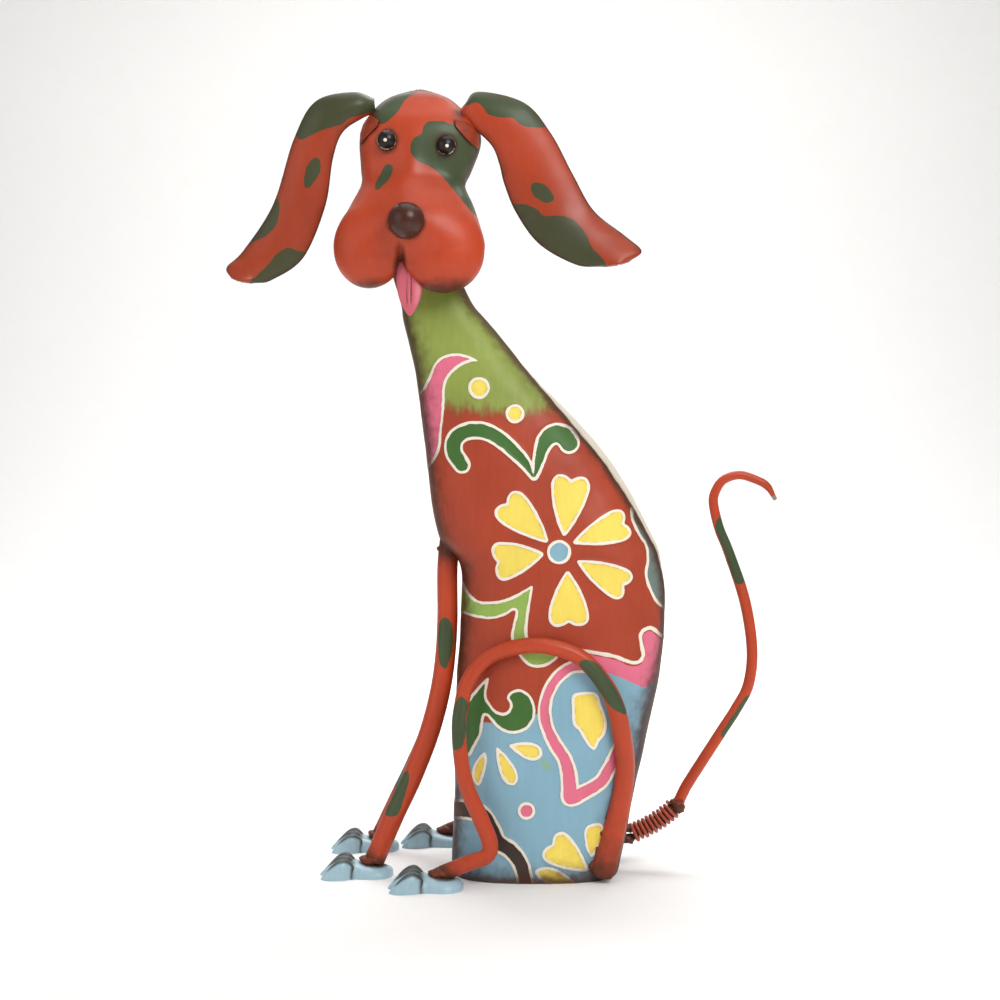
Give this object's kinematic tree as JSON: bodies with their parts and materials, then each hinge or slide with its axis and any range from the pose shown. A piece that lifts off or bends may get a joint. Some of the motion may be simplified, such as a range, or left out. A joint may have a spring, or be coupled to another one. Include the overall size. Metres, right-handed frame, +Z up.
{
  "type": "metal dog sculpture",
  "caption": "Standing ornament of a sitting long-necked dog in welded, painted sheet metal, with tube legs on flat feet and a rod tail on a coil spring.",
  "frame": {"origin": "on the floor, at the middle of the torso's flat base", "axes": "+Z up, +X towards the tail, -Y towards the side that the face looks to, which is the dog's left side"},
  "size_m": [0.3039, 0.1408, 0.43],
  "materials": {
    "torso_paint": "hand-painted flowers and scrolls under clear lacquer",
    "head_paint": "red-orange paint with dark green patches",
    "ball_paint": "glossy dark brown paint",
    "tongue_paint": "pink paint",
    "limb_paint": "red-orange paint with dark green patches",
    "foot_paint": "pale blue paint with a brown wash",
    "spring_paint": "thin dark red paint on a wire coil"
  },
  "bodies": {
    "root": {"torso": "torso_paint", "head": "head_paint", "nose": "ball_paint", "left_eye": "ball_paint", "right_eye": "ball_paint", "tongue": "tongue_paint", "left_ear": "head_paint", "right_ear": "head_paint", "left_front_leg": "limb_paint", "right_front_leg": "limb_paint", "left_hind_leg": "limb_paint", "right_hind_leg": "limb_paint", "left_front_foot": "foot_paint", "right_front_foot": "foot_paint", "left_hind_foot": "foot_paint", "right_hind_foot": "foot_paint", "tail_spring": "spring_paint", "tail_rod": "limb_paint"}
  },
  "joints": []
}
